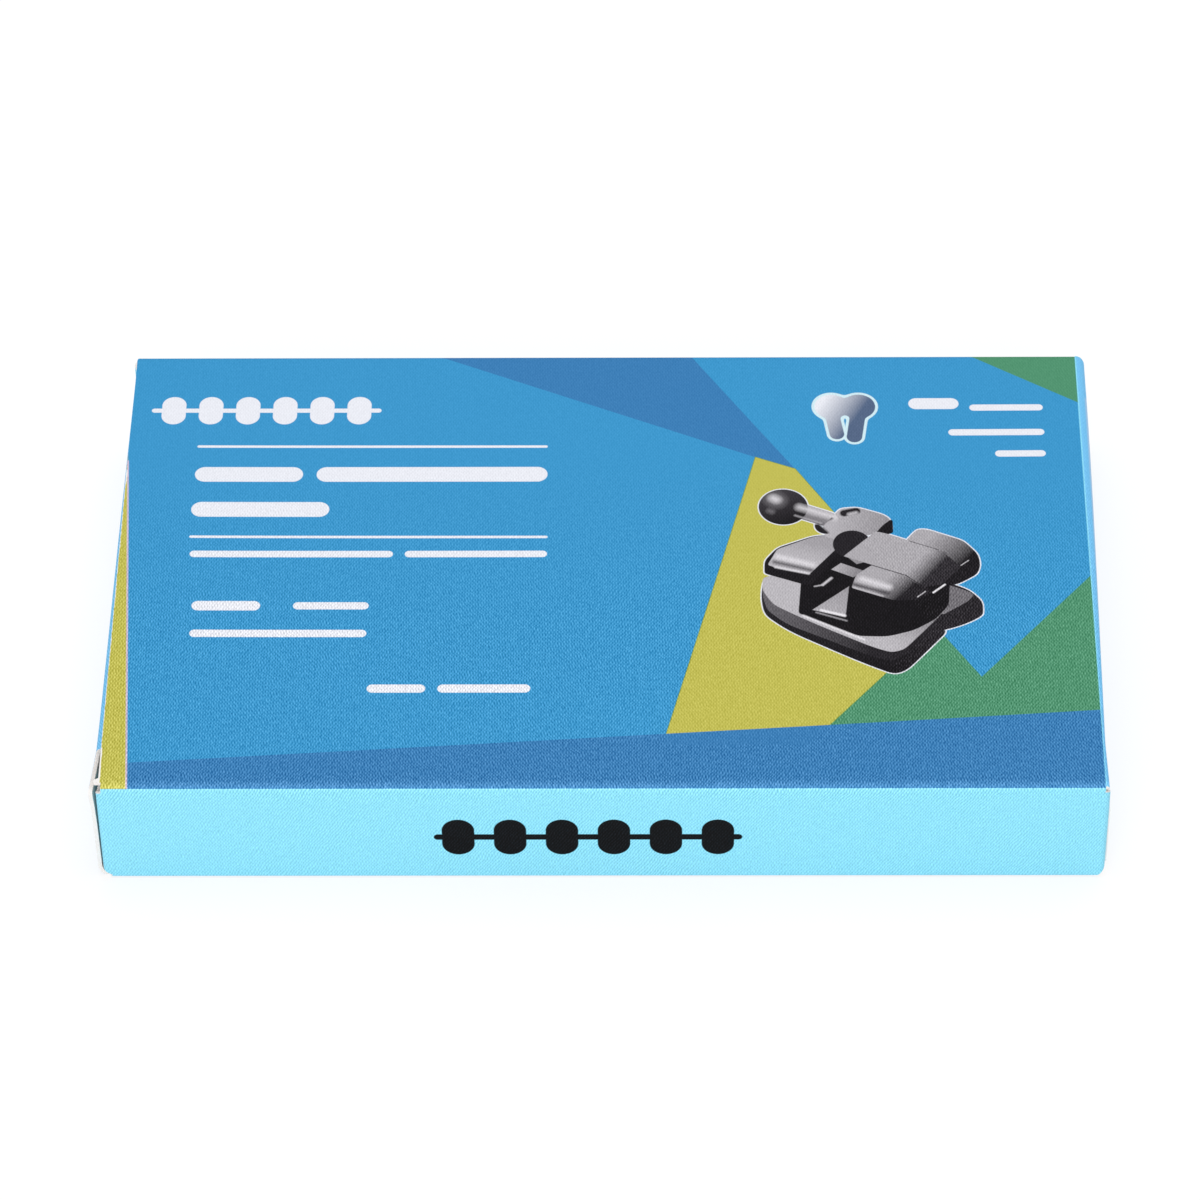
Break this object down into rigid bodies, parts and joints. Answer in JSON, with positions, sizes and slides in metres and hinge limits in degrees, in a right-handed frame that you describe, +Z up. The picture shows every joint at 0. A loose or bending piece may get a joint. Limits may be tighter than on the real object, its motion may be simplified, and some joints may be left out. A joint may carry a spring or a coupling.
{
  "type": "folding carton",
  "caption": "Flat rectangular folding carton of printed card, closed and empty, with a hinged tuck lid at each end.",
  "frame": {"origin": "middle of the underside, on the surface that the carton lies on", "axes": "+X along the carton to the right-hand lid, +Y to the back panel, +Z up through the large printed panel"},
  "size_m": [0.1, 0.0604, 0.013],
  "materials": {
    "printed_card": "satin"
  },
  "bodies": {
    "carton_body": {"carton_body": "printed_card"},
    "left_lid": {"left_tuck_lid": "printed_card"},
    "right_lid": {"right_tuck_lid": "printed_card"}
  },
  "joints": [
    {"name": "left_lid_crease", "type": "hinge", "parent": "carton_body", "child": "left_lid", "pos_m": [-0.04971, 0, 0.00029], "axis": [0, -1, 0], "range_deg": [0, 90]},
    {"name": "right_lid_crease", "type": "hinge", "parent": "carton_body", "child": "right_lid", "pos_m": [0.04971, 0, 0.01271], "axis": [0, -1, 0], "range_deg": [0, 135]}
  ]
}
